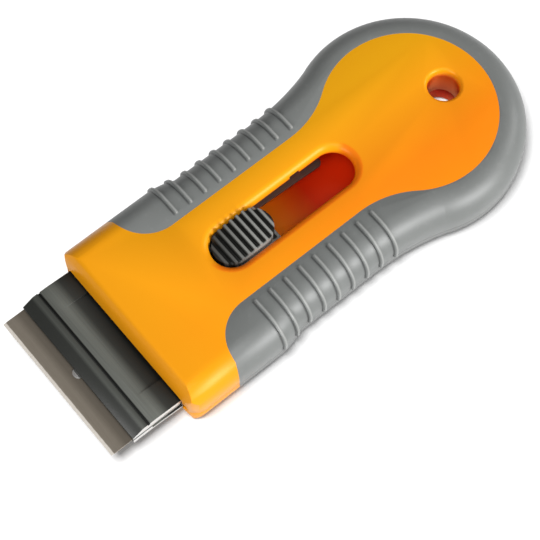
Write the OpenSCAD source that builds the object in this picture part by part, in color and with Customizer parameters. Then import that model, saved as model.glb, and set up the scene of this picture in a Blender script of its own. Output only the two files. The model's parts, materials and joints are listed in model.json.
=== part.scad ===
// Retractable razor blade scraper, lying on its back with the blade out.
// X runs across the tool, Y from the cutting edge to the round head, Z up out of the thumb side.

/* [Handle] */
// Length of the handle, from the mouth lip to the end of the head
handle_l = 107.6; // [100:0.1:125]
// Thickness of the closed handle
handle_t = 12.9; // [12.5:0.1:16]
// How far each flat side behind the mouth stands out past the blade holder
front_past = 4.05; // [3.2:0.05:5]
// How far each side is in at the waist, between the ribs
waist_in = 1.45; // [0.5:0.05:2]
// Diameter of the round head
head_d = 53.4; // [50:0.1:60]
// Radius of the hollow curve from the waist to the head
neck_r = 60; // [40:1:90]
// Distance from the mouth lip to where the sides begin to narrow
shoulder_l = 23.8; // [20:0.1:26]
// Length over which the sides narrow to the waist
flare_l = 7; // [5:0.1:10]
// Radius of the long edges on the thumb side
top_edge_r = 6; // [4:0.1:6.5]
// Radius of the long edges on the back
back_edge_r = 3.4; // [2:0.1:3.6]
// Height of the seam between the two halves
seam_z = 4.4; // [4.2:0.1:4.6]
// Thickness of the back wall
back_wall = 2; // [1.5:0.1:2.4]
// Thickness of the thumb side wall
top_wall = 2.2; // [1.8:0.1:2.4]
// Thickness of the side walls at the waist
side_wall = 4.3; // [4:0.1:5]

/* [Mouth] */
// How far the cutting edge stands out of the mouth
reach = 18.2; // [17:0.1:19]
// How far the front face leans back over the mouth
nose_lean = 2.1; // [0.5:0.1:3]
// How far the front face leans back under the mouth
chin_lean = 1.2; // [0.3:0.1:2]
// Radius of the front corners, seen from above
nose_corner_r = 4; // [1:0.1:4.5]
// Radius of the edge between the front face and the thumb side
nose_edge_r = 1.2; // [0.5:0.1:2]
// Clearance beside the blade holder
mouth_side_gap = 0.5; // [0.3:0.05:0.8]
// Clearance over the blade holder
mouth_top_gap = 0.25; // [0.2:0.05:0.6]
// Clearance under the blade holder
mouth_under_gap = 0.6; // [0.5:0.05:1]
// Clearance round the blade where it comes out sideways
blade_door_gap = 0.3; // [0.2:0.05:0.5]

/* [Grip] */
// Thickness of the soft grip
grip_t = 1.2; // [0.8:0.1:1.5]
// Width of the hard strip between the grips
strip_w = 23.5; // [20:0.1:26]
// Diameter of the hard disc in the head
disc_d = 39.9; // [34:0.1:42]
// Radius of the curve from the strip to the disc
disc_blend_r = 22; // [14:0.5:26]
// Radius of the round front end of each grip
grip_nose_r = 9.3; // [7:0.1:9.6]
// Distance from the mouth lip to the middle of that round end
grip_nose_l = 22.8; // [20:0.1:26]
// How far the grip's front end runs forward on the sides
grip_sweep = 1.3; // [0.5:0.1:2]
// Number of ribs on each side
rib_count = 9; // [3:1:9]
// Distance from one rib to the next
rib_pitch = 4.067; // [3:0.01:4.1]
// Width of a rib
rib_w = 0.7; // [0.5:0.05:1.2]
// How far a rib stands out of the grip
rib_rise = 0.5; // [0.3:0.05:0.8]
// Height of the ribs' lower ends above the seam
rib_seam_gap = 0.4; // [0.2:0.05:1]
// Distance from the mouth lip to the first rib
rib_from_mouth = 25.2; // [24:0.1:28]
// Distance between the inner ends of the ribs
rib_inner_w = 26.8; // [25:0.1:30]

/* [Hanging hole] */
// Diameter of the hanging hole
hole_d = 7.4; // [5:0.1:9]
// Radius of the edges of the hole
hole_edge_r = 1; // [0.3:0.1:1.5]
// Distance from the end of the head to the middle of the hole
hole_from_end = 16.55; // [12:0.05:18]
// Wall round the hole inside the handle
hole_wall = 2; // [1.5:0.1:2.2]

/* [Thumb button] */
// Width of the slot for the button
slot_w = 9.7; // [8:0.1:11]
// Radius of the edge of the slot
slot_edge_r = 1.8; // [0.5:0.1:1.9]
// Distance from the mouth lip to the front end of the slot
slot_from_mouth = 24.8; // [24:0.1:26]
// How far the blade slides back
slide_travel = 22.5; // [19:0.1:23]
// Clearance at each end of the slot
slot_end_gap = 0.5; // [0.3:0.05:1]
// Length of the button
button_l = 15; // [14:0.1:16]
// Clearance between the button and the sides of the slot
button_gap = 0.45; // [0.3:0.05:0.8]
// How far the top of the button stands out of the handle
button_proud = 0.9; // [0:0.1:2]
// Radius of the button's crowned top
button_crown_r = 28; // [20:1:60]
// How far the highest point of the crown lies behind the middle
button_crown_back = 2; // [0:0.1:3]
// Number of valleys across the button
valley_count = 8; // [5:1:9]
// Distance from valley to valley
valley_pitch = 1.66; // [1.3:0.01:1.72]
// Width of a valley, which is the diameter of its round bottom
valley_w = 1; // [0.6:0.05:1.1]
// Depth of a valley
valley_deep = 0.9; // [0.6:0.05:1]
// How far the button presses in
press_travel = 1.5; // [0.8:0.1:1.8]

/* [Blade] */
// Width of the blade
blade_w = 38.1; // [36:0.1:38.3]
// Depth of the blade, from its edge to its back
blade_d = 18; // [17.8:0.05:18.1]
// Thickness of the blade
blade_t = 0.3; // [0.2:0.05:0.4]
// Depth of the ground bevel
bevel_l = 1.2; // [0.6:0.1:2]
// Height of the underside of the blade
blade_z = 6.1; // [6:0.05:6.2]
// Depth of the folded spine over the blade
spine_d = 4.2; // [3.5:0.1:4.4]
// How far the spine reaches under the blade
spine_drop = 0.85; // [0.4:0.05:0.9]
// How far the spine reaches over the blade
spine_rise = 0.45; // [0.3:0.05:0.6]
// Distance from the edge to the middle slot in the blade
blade_slot_from_edge = 4.5; // [3:0.1:6]
// Length of the middle slot in the blade
blade_slot_l = 6.8; // [5:0.1:8]
// Width of the middle slot in the blade
blade_slot_w = 3; // [2:0.1:4]
// Distance from the edge to the round notches in the ends
notch_from_edge = 8.7; // [7:0.1:10]
// Diameter of those notches
notch_d = 3.4; // [2:0.1:4]

/* [Blade holder] */
// How far the holder stands past the blade at each end
holder_past = 0.25; // [0.15:0.05:0.45]
// Depth of blade that stands out of the holder
blade_out = 5.5; // [4:0.1:6]
// Height of the top of the holder
holder_top_z = 8.5; // [8.3:0.05:8.6]
// Height of the underside of the holder at the lip
holder_lip_under_z = 4.5; // [4.2:0.05:4.8]
// Height of the underside of the holder at its back
holder_under_z = 3.7; // [3.6:0.05:3.9]
// Clearance round the blade and its spine
blade_gap = 0.1; // [0.05:0.01:0.15]
// Thickness of the upper lip at its tip
lip_t = 0.6; // [0.4:0.05:0.9]
// Depth of the slanted front of the lip
lip_l = 2.8; // [2:0.1:3.5]
// Distance from the lip to the groove across the top
groove_from_lip = 4.1; // [3.5:0.1:4.6]
// Width of that groove
groove_w = 0.5; // [0.3:0.05:0.8]
// Depth of that groove
groove_deep = 0.45; // [0.2:0.05:0.7]
// Width of the sunk panel in the top
panel_w = 25.6; // [20:0.1:30]
// Distance from the lip to the front of the panel
panel_from_lip = 6.4; // [5.5:0.1:7.5]
// How far the panel sinks at the back of the holder
panel_deep = 0.9; // [0.3:0.05:1]
// How far the top falls to the back of the holder
top_fall = 0.6; // [0.2:0.05:0.7]
// Distance from the lip to the space in front of the spine
pocket_from_lip = 5.1; // [4.5:0.1:6]
// Thickness of the lower wall
lower_wall = 0.6; // [0.5:0.05:0.8]
// Thickness of the wall behind the spine
rear_wall = 1.2; // [0.8:0.1:1.6]

/* [Carriage] */
// Length of the flange behind the holder
flange_l = 6.3; // [5:0.1:7]
// Width of that flange
flange_w = 20.8; // [18:0.1:21]
// Thickness of that flange
flange_t = 2.8; // [2:0.1:3]
// Thickness of the slide plate
plate_t = 1; // [0.8:0.1:1.2]
// Width of the slide plate
plate_w = 24; // [23:0.1:25]
// Height of the underside of the slide plate
plate_z = 4; // [3.9:0.05:4.1]
// Diameter of the holder rivets
holder_rivet_d = 2.2; // [1.6:0.1:2.6]
// Distance between the holder rivets
holder_rivet_w = 14; // [10:0.1:15]
// Height of a rivet head
rivet_head_t = 0.5; // [0.3:0.05:0.55]
// Width of the slide block
block_w = 21; // [19:0.1:21.5]
// Length of the slide block
block_l = 15; // [14.6:0.1:15.4]
// Height of the slide block
block_t = 2.5; // [2:0.1:2.7]
// Diameter of the block rivets
block_rivet_d = 1.8; // [1.2:0.1:2]
// Distance between the block rivets, across
block_rivet_w = 15; // [14:0.1:16]
// Distance between the block rivets, along
block_rivet_l = 11.4; // [10.5:0.1:11.8]
// Thickness of the detent spring
spring_t = 0.5; // [0.3:0.05:0.6]
// Length of the detent spring's root
spring_root_l = 6.2; // [5.5:0.1:6.5]
// Length of a spring leg
leg_l = 19.5; // [14:0.1:19.8]
// Width of a spring leg
leg_w = 2.6; // [1.8:0.1:2.8]
// Distance between the roots of the legs
leg_gap = 11.6; // [10:0.1:12]
// How far each leg leans inwards over its length
leg_lean = 0.75; // [0:0.05:1.2]
// Running clearance of the carriage in its rails
rail_gap = 0.2; // [0.15:0.01:0.3]
// Clearance between the plate's edges and the rails
rail_side_gap = 0.3; // [0.2:0.05:0.5]

/* [Button mechanism] */
// Width of the button's foot under the slot
foot_w = 14; // [12:0.1:15]
// Length of the button's foot
foot_l = 14; // [12:0.1:15]
// Thickness of the button's foot
foot_t = 1; // [0.8:0.1:1.2]
// Clearance between the foot and the ceiling of the handle
foot_gap = 0.3; // [0.2:0.05:0.5]
// Width of the button's stem
stem_w = 7; // [6:0.1:8]
// Length of the button's stem
stem_l = 8.4; // [7:0.1:8.6]
// Clearance round the stem in the block
stem_gap = 0.35; // [0.2:0.05:0.5]
// Length of the lock bar
lock_w = 18.4; // [16:0.1:19]
// Depth of the lock bar
lock_l = 2; // [1.5:0.1:2.5]
// Thickness of the lock bar
lock_t = 0.6; // [0.4:0.05:0.7]
// Distance from the front of the button to the lock bar
lock_from_front = 2.6; // [2:0.1:3]
// Depth of the lock notches in the ceiling
lock_notch_deep = 0.9; // [0.5:0.1:1.2]
// Diameter of the spring
coil_d = 3.8; // [3:0.1:4.2]
// Diameter of the spring wire
wire_d = 0.45; // [0.3:0.05:0.6]
// Number of turns of the spring
coil_turns = 4; // [3:1:4]
// Clearance round the spring in the stem
coil_gap = 0.3; // [0.2:0.05:0.5]
// Depth of the spring's seat above the stem's lower end
coil_seat = 3; // [2.5:0.1:3.2]

/* [Screws] */
// Diameter of a shell screw
screw_d = 2; // [1.6:0.1:2.4]
// Diameter of its head
screw_head_d = 3.8; // [3:0.1:4.2]
// Height of its head
screw_head_t = 1.2; // [0.8:0.1:1.4]
// Length of its shank
screw_l = 7.6; // [5:0.1:8]
// Diameter of a screw boss
boss_d = 5; // [4.6:0.1:5.2]
// Distance from the side of the waist in to a waist screw
waist_screw_in = 5.9; // [5.4:0.1:6.2]
// Distance from the mouth lip to the waist screws
waist_screw_l = 34; // [32:0.1:40]
// Distance between the head screws
head_screw_w = 27; // [24:0.1:30]
// Distance from the middle of the head forward to the head screws
head_screw_fwd = 4; // [0:0.1:6]
// Clearance round a screw
screw_gap = 0.1; // [0.05:0.01:0.2]

/* [Hidden] */
$fn = 64;

orange = "#F8A21A";
grip_grey = "#7C827E";
dark_grey = "#3A3B38";
black_metal = "#2B2C2A";
steel = "#B9B6B0";
spring_steel = "#8C7F74";
blade_steel = "#857A6F";
spine_steel = "#9A958E";

// How far a cut runs past the face that it opens
past = 1;
// Clearance of a rivet in its hole
rivet_gap = 0.03;
// How far round the curve of the flare runs on inside the waist
flare_lap = 5;
// How far the hollow curve of the neck cuts into the round of the head
neck_lap = 0.1;

// Facets of the large arcs, of the nose and of the small round pieces
arc_facets = 240;
nose_steps = 5;
coil_sides = 6;
turn_steps = 18;

holder_w = blade_w + 2 * holder_past;
front_w = holder_w + 2 * front_past;
waist_w = front_w - 2 * waist_in;
waist_screw_w = waist_w - 2 * waist_screw_in;
front_hw = front_w / 2;
waist_hw = waist_w / 2;
head_r = head_d / 2;
overall_l = handle_l + reach;
edge_y = -overall_l / 2;
mouth_y = edge_y + reach;
end_y = overall_l / 2;
head_y = end_y - head_r;
hole_y = end_y - hole_from_end;
hole_r = hole_d / 2;

flare_y = mouth_y + shoulder_l;
flare_end_y = flare_y + flare_l;
flare_a = 2 * atan((front_hw - waist_hw) / flare_l);
flare_r = flare_l / sin(flare_a);
flare_x = front_hw - flare_r;
neck_x = waist_hw + neck_r;
neck_y = head_y - sqrt(pow(head_r + neck_r - neck_lap, 2) - pow(neck_x, 2));
neck_a = atan2(head_y - neck_y, neck_x);

strip_hw = strip_w / 2;
disc_r = disc_d / 2;
blend_x = strip_hw + disc_blend_r;
blend_y = head_y - sqrt(pow(disc_r + disc_blend_r, 2) - pow(blend_x, 2));
grip_nose_y = mouth_y + grip_nose_l;

holder_hw = holder_w / 2;
lip_y = edge_y + blade_out;
slit_lo_z = blade_z - blade_gap;
slit_hi_z = blade_z + blade_t + blade_gap;
blade_back_y = edge_y + blade_d;
spine_front_y = blade_back_y - spine_d;
spine_back_y = blade_back_y + blade_t;
holder_back_y = spine_back_y + blade_gap + rear_wall;
flange_y = holder_back_y + flange_l;
plate_top_z = plate_z + plate_t;

slot_y = mouth_y + slot_from_mouth;
slot_l = button_l + slide_travel + 2 * slot_end_gap;
button_y = slot_y + slot_end_gap;
button_mid_y = button_y + button_l / 2;
button_w = slot_w - 2 * button_gap;
ceiling_z = handle_t - top_wall;
foot_top_z = ceiling_z - foot_gap;
foot_z = foot_top_z - foot_t;
stem_z = plate_top_z + press_travel + foot_gap;
lock_y = button_y + lock_from_front;
lock_z = foot_top_z - lock_t;

block_y = button_mid_y - block_l / 2;
block_back_y = block_y + block_l;
block_top_z = plate_top_z + block_t;
spring_root_y = block_back_y + rail_side_gap - spring_root_l;
plate_back_y = block_back_y + rail_side_gap;
plate_front_y = holder_back_y + rail_side_gap;
holder_rivet_y = (plate_front_y + flange_y) / 2;
leg_y = plate_back_y;
leg_end_y = leg_y + leg_l;

mouth_hw = holder_hw + mouth_side_gap;
mouth_top_z = holder_top_z + mouth_top_gap;
mouth_under_z = holder_under_z - mouth_under_gap;
bay_end_y = holder_back_y + slide_travel + slot_end_gap;
rail_y = bay_end_y + rail_side_gap;
rail_end_y = plate_back_y + slide_travel + slot_end_gap;
hull_y = mouth_y + nose_lean + side_wall;
plate_hw = plate_w / 2;
// Width of the ledges under the slide plate, and of the guides beside it
ledge_w = 2;
guide_w = 1;

screw_head_z = screw_head_t + screw_gap;
waist_screw_y = mouth_y + waist_screw_l;
head_screw_y = head_y - head_screw_fwd;
SCREWS = [
    [-waist_screw_w / 2, waist_screw_y], [waist_screw_w / 2, waist_screw_y],
    [-head_screw_w / 2, head_screw_y], [head_screw_w / 2, head_screw_y]
];

// Edge of one half of the handle, from x0 out to w, cut h high above the seam and rounded by r.
// It is moved inwards by d and run past the seam by extra.
module edge_profile(x0, w, h, r, d, extra) {
    translate([x0, -extra]) square([w - r - x0, h - d + extra]);
    translate([x0, -extra]) square([w - d - x0, h - r + extra]);
    translate([w - r, h - r]) intersection() {
        circle(r - d);
        square(r + past);
    }
}

// The same edge where the outline curves the other way, from w in to x1
module hollow_edge_profile(w, x1, h, r, d, extra) {
    translate([w + x1, 0]) mirror([1, 0]) edge_profile(0, x1, h, r, d, extra);
}

module run(y0, y1) {
    translate([0, y1, 0]) rotate([90, 0, 0]) linear_extrude(y1 - y0) children();
}

module both_sides() {
    for (side = [0, 1]) mirror([side, 0, 0]) children();
}

// One half of the handle's outer form above the seam, swept along its outline
module half_form(h, r, d, extra) {
    inset = r + past / 2;
    translate([0, 0, -extra]) linear_extrude(h - d + extra) polygon([
        [inset - front_hw, mouth_y - past], [front_hw - inset, mouth_y - past],
        [front_hw - inset, flare_y], [waist_hw - inset, flare_end_y], [waist_hw - inset, head_y],
        [inset - waist_hw, head_y], [inset - waist_hw, flare_end_y], [inset - front_hw, flare_y]
    ]);
    both_sides() {
        run(mouth_y - past, flare_y) edge_profile(0, front_hw, h, r, d, extra);
        translate([flare_x, flare_y, 0])
            rotate_extrude(angle = flare_a + flare_lap) edge_profile(0, flare_r, h, r, d, extra);
        run(flare_y - past, neck_y) edge_profile(0, waist_hw, h, r, d, extra);
        translate([neck_x, neck_y, 0]) mirror([1, 0, 0])
            rotate_extrude(angle = neck_a, $fn = arc_facets) hollow_edge_profile(neck_r, waist_hw / 2, h, r, d, extra);
    }
    translate([0, head_y, 0]) rotate_extrude($fn = arc_facets) edge_profile(0, head_r, h, r, d, extra);
}

// Thumb side half of the handle's outer form, moved inwards by d and run down by extra
module front_form(d = 0, extra = 0) {
    translate([0, 0, seam_z]) half_form(handle_t - seam_z, top_edge_r, d, extra);
}

// Back half of the handle's outer form, moved inwards by d and run up by extra
module back_form(d = 0, extra = 0) {
    translate([0, 0, seam_z]) mirror([0, 0, 1]) half_form(seam_z, back_edge_r, d, extra);
}

// Turns an outline drawn in Y and Z into a bar of width w across the tool
module across(w) {
    rotate([90, 0, 90]) linear_extrude(w, center = true) children();
}

// Block from y0 to y1 and z0 to z1, of width w about the middle of the tool
module bar(w, y0, y1, z0, z1) {
    translate([-w / 2, y0, z0]) cube([w, y1 - y0, z1 - z0]);
}

// Pair of such blocks, from x0 to x1 on both sides
module twin_bars(x0, x1, y0, y1, z0, z1) {
    both_sides() translate([x0, y0, z0]) cube([x1 - x0, y1 - y0, z1 - z0]);
}

module stadium(l, w) {
    square([w, l - w], center = true);
    for (end = [-1, 1]) translate([0, end * (l - w) / 2]) circle(d = w);
}

// Outline of what a round-over of radius r takes off the edge of an opening of radius inner
module round_over_outline(inner, r) {
    difference() {
        translate([inner - past, -r]) square([r + past, r + past]);
        translate([inner + r, -r]) circle(r);
    }
}

// Front face of the handle, seen from the side
module nose_side() {
    slope_a = atan2(handle_t - mouth_top_z, nose_lean);
    run = nose_edge_r * tan(slope_a / 2);
    polygon(concat(
        [[mouth_y + chin_lean, -past], [mouth_y + chin_lean, 0], [mouth_y, seam_z], [mouth_y, mouth_top_z]],
        [for (k = [0:nose_steps]) let (a = 90 + slope_a * (1 - k / nose_steps))
            [mouth_y + nose_lean + run + nose_edge_r * cos(a), handle_t - nose_edge_r + nose_edge_r * sin(a)]],
        [[mouth_y + nose_lean + run, handle_t + past], [end_y + past, handle_t + past], [end_y + past, -past]]
    ));
}

// Front corners of the handle, seen from above
module nose_plan() {
    depth = end_y + past - mouth_y;
    translate([-front_hw + nose_corner_r, mouth_y]) square([front_w - 2 * nose_corner_r, depth]);
    translate([-head_r - past, mouth_y + nose_corner_r]) square([head_d + 2 * past, depth - nose_corner_r]);
    for (side = [-1, 1]) translate([side * (front_hw - nose_corner_r), mouth_y + nose_corner_r])
        circle(nose_corner_r);
}

module nose_trim() {
    intersection() {
        children();
        across(head_d + 4 * past) nose_side();
        translate([0, 0, -past]) linear_extrude(handle_t + 2 * past) nose_plan();
    }
}

// Hard middle of the handle, seen from above: nose, strip between the grips and disc in the head
module hard_plan() {
    nose_back_y = grip_nose_y - grip_nose_r;
    arc_x = strip_hw + grip_nose_r;
    polygon([
        [-front_hw - past, mouth_y - past], [front_hw + past, mouth_y - past],
        [front_hw + past, nose_back_y - grip_sweep], [arc_x, nose_back_y],
        [-arc_x, nose_back_y], [-front_hw - past, nose_back_y - grip_sweep]
    ]);
    translate([-strip_hw, nose_back_y - past]) square([strip_w, head_y - nose_back_y + past]);
    difference() {
        translate([-arc_x, nose_back_y - past]) square([2 * arc_x, grip_nose_r + past]);
        for (side = [-1, 1]) translate([side * arc_x, grip_nose_y]) circle(grip_nose_r);
    }
    difference() {
        polygon([[-blend_x, blend_y], [blend_x, blend_y], [0, head_y]]);
        for (side = [-1, 1]) translate([side * blend_x, blend_y]) circle(disc_blend_r);
    }
    translate([0, head_y]) circle(disc_r);
}

module hard_prism() {
    translate([0, 0, -past]) linear_extrude(handle_t + 2 * past) hard_plan();
}

// Hollow inside the handle, seen from above, with its bosses left standing
module hollow_plan(wall, y0) {
    difference() {
        union() {
            translate([-front_hw + wall, y0]) square([front_w - 2 * wall, max(flare_y - y0, past)]);
            translate([-waist_hw + wall, y0]) square([waist_w - 2 * wall, neck_y - y0]);
            difference() {
                polygon([[-neck_x, neck_y], [neck_x, neck_y], [0, head_y]]);
                for (side = [-1, 1]) translate([side * neck_x, neck_y]) circle(neck_r + wall, $fn = arc_facets);
            }
            translate([0, head_y]) circle(head_r - wall);
        }
        translate([0, hole_y]) circle(hole_r + hole_wall);
        for (spot = SCREWS) translate(spot) circle(d = boss_d);
    }
}

module holder_bay() {
    bar(2 * mouth_hw, mouth_y - past, bay_end_y, mouth_under_z, mouth_top_z);
}

// Cut through both sides of the mouth, so that the blade and its spine come out sideways
module blade_door() {
    twin_bars(mouth_hw - past, head_r, mouth_y - past, spine_back_y + blade_door_gap,
        blade_z - spine_drop - blade_door_gap, blade_z + blade_t + spine_rise + blade_door_gap);
}

module hanging_hole() {
    translate([0, hole_y, -past]) cylinder(r = hole_r, h = handle_t + 2 * past);
    translate([0, hole_y, handle_t]) rotate_extrude() round_over_outline(hole_r, hole_edge_r);
    translate([0, hole_y, 0]) mirror([0, 0, 1]) rotate_extrude() round_over_outline(hole_r, hole_edge_r);
}

module thumb_slot() {
    mid_y = slot_y + slot_l / 2;
    straight = slot_l - slot_w;
    translate([0, mid_y, ceiling_z - past]) linear_extrude(top_wall + 2 * past) stadium(slot_l, slot_w);
    translate([0, mid_y, handle_t]) {
        for (end = [-1, 1]) translate([0, end * straight / 2, 0])
            rotate_extrude() round_over_outline(slot_w / 2, slot_edge_r);
        for (side = [0, 1]) mirror([side, 0, 0]) rotate([90, 0, 0])
            linear_extrude(straight, center = true) round_over_outline(slot_w / 2, slot_edge_r);
    }
}

// Notches in the ceiling for the lock bar, at each end of its way
module lock_notches() {
    for (shift = [0, slide_travel])
        bar(lock_w + 2 * stem_gap, lock_y - stem_gap + shift, lock_y + lock_l + stem_gap + shift,
            ceiling_z - past, ceiling_z + lock_notch_deep);
}

module front_shell() {
    color(orange) union() {
        nose_trim() difference() {
            union() {
                intersection() {
                    front_form();
                    hard_prism();
                }
                front_form(grip_t);
            }
            holder_bay();
            blade_door();
            translate([0, 0, seam_z - past])
                linear_extrude(mouth_top_z - seam_z + past) hollow_plan(side_wall, hull_y);
            translate([0, 0, seam_z - past])
                linear_extrude(ceiling_z - seam_z + past) hollow_plan(top_edge_r + grip_t, slot_y - slot_end_gap);
            thumb_slot();
            lock_notches();
            hanging_hole();
            for (spot = SCREWS) translate([spot[0], spot[1], seam_z - past])
                cylinder(d = screw_d + 2 * rivet_gap, h = screw_head_z + screw_l + rail_side_gap - seam_z + past);
        }
        twin_bars(plate_hw - guide_w, plate_hw + rail_side_gap + guide_w, rail_y, rail_end_y,
            plate_top_z + rail_gap, ceiling_z);
    }
}

module back_shell() {
    color(orange) union() {
        nose_trim() difference() {
            union() {
                intersection() {
                    back_form();
                    hard_prism();
                }
                back_form(grip_t);
            }
            holder_bay();
            translate([0, 0, back_wall])
                linear_extrude(seam_z - back_wall + past) hollow_plan(side_wall, hull_y);
            hanging_hole();
            for (spot = SCREWS) translate([spot[0], spot[1], 0]) {
                translate([0, 0, -past]) cylinder(d = screw_d + 2 * screw_gap, h = seam_z + 2 * past);
                translate([0, 0, -past]) cylinder(d = screw_head_d + 2 * screw_gap, h = screw_head_z + past);
            }
        }
        twin_bars(plate_hw - ledge_w, plate_hw + rail_side_gap, rail_y, rail_end_y,
            back_wall, plate_z - rail_gap);
        twin_bars(plate_hw + rail_side_gap, plate_hw + rail_side_gap + guide_w, rail_y, rail_end_y,
            back_wall, plate_top_z);
    }
}

// Slabs that cut the ribs out of a handle grown by their height
module rib_slabs(z0, z1) {
    for (k = [0:rib_count - 1]) let (y = mouth_y + rib_from_mouth + k * rib_pitch)
        twin_bars(rib_inner_w / 2, head_r, y - rib_w / 2, y + rib_w / 2, z0, z1);
}

module front_grip() {
    color(grip_grey) difference() {
        union() {
            front_form();
            intersection() {
                front_form(-rib_rise);
                rib_slabs(seam_z + rib_seam_gap, handle_t + past);
            }
        }
        front_form(grip_t, past);
        hard_prism();
    }
}

module back_grip() {
    color(grip_grey) difference() {
        back_form();
        back_form(grip_t, past);
        hard_prism();
        for (spot = SCREWS) translate([spot[0], spot[1], -past])
            cylinder(d = screw_head_d + 2 * screw_gap, h = seam_z + past);
    }
}

module shell_screws() {
    color(steel) for (spot = SCREWS) translate([spot[0], spot[1], 0]) difference() {
        union() {
            translate([0, 0, screw_gap]) cylinder(d = screw_head_d, h = screw_head_t);
            translate([0, 0, screw_head_z]) cylinder(d = screw_d, h = screw_l);
        }
        for (turn = [0, 90]) rotate(turn) translate([0, 0, screw_gap])
            cube([screw_head_d / 2, screw_head_t / 3, screw_head_t], center = true);
    }
}

// Cross-section of the extruded holder: lips over and under the blade, and a chamber for its spine
module holder_outline() {
    crest_y = lip_y + lip_l;
    pocket_y = lip_y + pocket_from_lip;
    slope_y = lip_y + panel_from_lip;
    chamber_back_y = spine_back_y + blade_gap;
    pocket_z = holder_lip_under_z + lower_wall;
    floor_z = holder_under_z + lower_wall;
    difference() {
        polygon([
            [lip_y, holder_lip_under_z], [pocket_y, holder_lip_under_z], [chamber_back_y, holder_under_z],
            [holder_back_y, holder_under_z], [holder_back_y, plate_top_z], [flange_y, plate_top_z],
            [flange_y, plate_top_z + flange_t], [holder_back_y, holder_top_z - top_fall],
            [slope_y, holder_top_z], [crest_y, holder_top_z], [lip_y, slit_hi_z + lip_t]
        ]);
        polygon([
            [lip_y - past, slit_lo_z], [pocket_y, slit_lo_z], [pocket_y, pocket_z],
            [chamber_back_y, floor_z], [chamber_back_y, slit_hi_z + spine_rise],
            [spine_front_y - blade_gap, slit_hi_z + spine_rise], [spine_front_y - blade_gap, slit_hi_z],
            [lip_y - past, slit_hi_z]
        ]);
        translate([lip_y + groove_from_lip, holder_top_z - groove_deep]) square([groove_w, groove_deep + past]);
    }
}

module blade_holder() {
    slope_y = lip_y + panel_from_lip;
    color(black_metal) difference() {
        across(holder_w) holder_outline();
        across(panel_w) polygon([
            [slope_y, holder_top_z], [holder_back_y, holder_top_z - panel_deep - top_fall],
            [flange_y + past, holder_top_z - panel_deep - top_fall], [flange_y + past, holder_top_z + past],
            [slope_y, holder_top_z + past]
        ]);
        twin_bars(flange_w / 2, holder_hw + past, holder_back_y, flange_y + past, plate_z, holder_top_z);
        for (side = [-1, 1]) translate([side * holder_rivet_w / 2, holder_rivet_y, plate_z])
            cylinder(d = holder_rivet_d + 2 * rivet_gap, h = holder_top_z);
    }
}

module rivet(d, z0, z1, head) {
    translate([0, 0, z0]) cylinder(d = d, h = z1 - z0);
    translate([0, 0, z0 - head]) cylinder(d = d + 2 * rivet_head_t + d / 2, h = head);
}

// Top of the holder's flange in the middle, where the panel runs out over it
flange_top_z = min(plate_top_z + flange_t, holder_top_z - panel_deep - top_fall);

module holder_rivets() {
    color(steel) for (side = [-1, 1]) translate([side * holder_rivet_w / 2, holder_rivet_y, 0]) {
        rivet(holder_rivet_d, plate_z, flange_top_z, rivet_head_t);
        translate([0, 0, flange_top_z]) cylinder(d = holder_rivet_d * 3 / 2 + 2 * rivet_head_t, h = rivet_head_t);
    }
}

module block_rivet_spots() {
    for (side = [-1, 1], end = [-1, 1])
        translate([side * block_rivet_w / 2, button_mid_y + end * block_rivet_l / 2, 0]) children();
}

module slide_plate() {
    color(steel) difference() {
        bar(plate_w, plate_front_y, plate_back_y, plate_z, plate_top_z);
        for (side = [-1, 1]) translate([side * holder_rivet_w / 2, holder_rivet_y, plate_z - past])
            cylinder(d = holder_rivet_d + 2 * rivet_gap, h = plate_t + 2 * past);
        block_rivet_spots() translate([0, 0, plate_z - past])
            cylinder(d = block_rivet_d + 2 * rivet_gap, h = plate_t + 2 * past);
    }
}

module slide_block() {
    head_d = block_rivet_d * 3 / 2 + 2 * rivet_head_t;
    color(dark_grey) difference() {
        bar(block_w, block_y, block_back_y, plate_top_z, block_top_z);
        translate([0, button_mid_y, plate_top_z - past])
            linear_extrude(block_t + 2 * past) square([stem_w + 2 * stem_gap, stem_l + 2 * stem_gap], center = true);
        bar(block_w + 2 * past, spring_root_y - rivet_gap, block_back_y + past, plate_top_z - past,
            plate_top_z + spring_t);
        block_rivet_spots() {
            translate([0, 0, plate_z]) cylinder(d = block_rivet_d + 2 * rivet_gap, h = block_top_z);
            translate([0, 0, block_top_z - rivet_head_t])
                cylinder(d = head_d + 2 * rivet_gap, h = rivet_head_t + past);
        }
    }
}

module block_rivets() {
    head_d = block_rivet_d * 3 / 2 + 2 * rivet_head_t;
    color(steel) block_rivet_spots() {
        rivet(block_rivet_d, plate_z, block_top_z - rivet_head_t, rivet_head_t);
        translate([0, 0, block_top_z - rivet_head_t]) cylinder(d = head_d, h = rivet_head_t);
    }
}

// Forked flat spring: a root under the block and two legs that lean inwards
module detent_spring() {
    root_hw = leg_gap / 2 + leg_w;
    gap_hw = leg_gap / 2;
    tip_x = gap_hw - leg_lean;
    tip_y = leg_end_y - leg_w / 2;
    color(spring_steel) difference() {
        union() {
            translate([0, 0, plate_top_z]) linear_extrude(spring_t) polygon([
                [-root_hw, spring_root_y], [root_hw, spring_root_y], [root_hw, leg_y],
                [tip_x + leg_w, tip_y], [tip_x, tip_y], [gap_hw, leg_y],
                [-gap_hw, leg_y], [-tip_x, tip_y], [-tip_x - leg_w, tip_y], [-root_hw, leg_y]
            ]);
            both_sides() translate([tip_x + leg_w / 2, tip_y, plate_top_z]) cylinder(d = leg_w, h = spring_t);
        }
        bar(stem_w + 2 * stem_gap, spring_root_y - past, button_mid_y + stem_l / 2 + stem_gap,
            plate_top_z - past, plate_top_z + spring_t + past);
        block_rivet_spots() translate([0, 0, plate_top_z - past])
            cylinder(d = block_rivet_d + 2 * rivet_gap, h = spring_t + 2 * past);
    }
}

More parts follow.
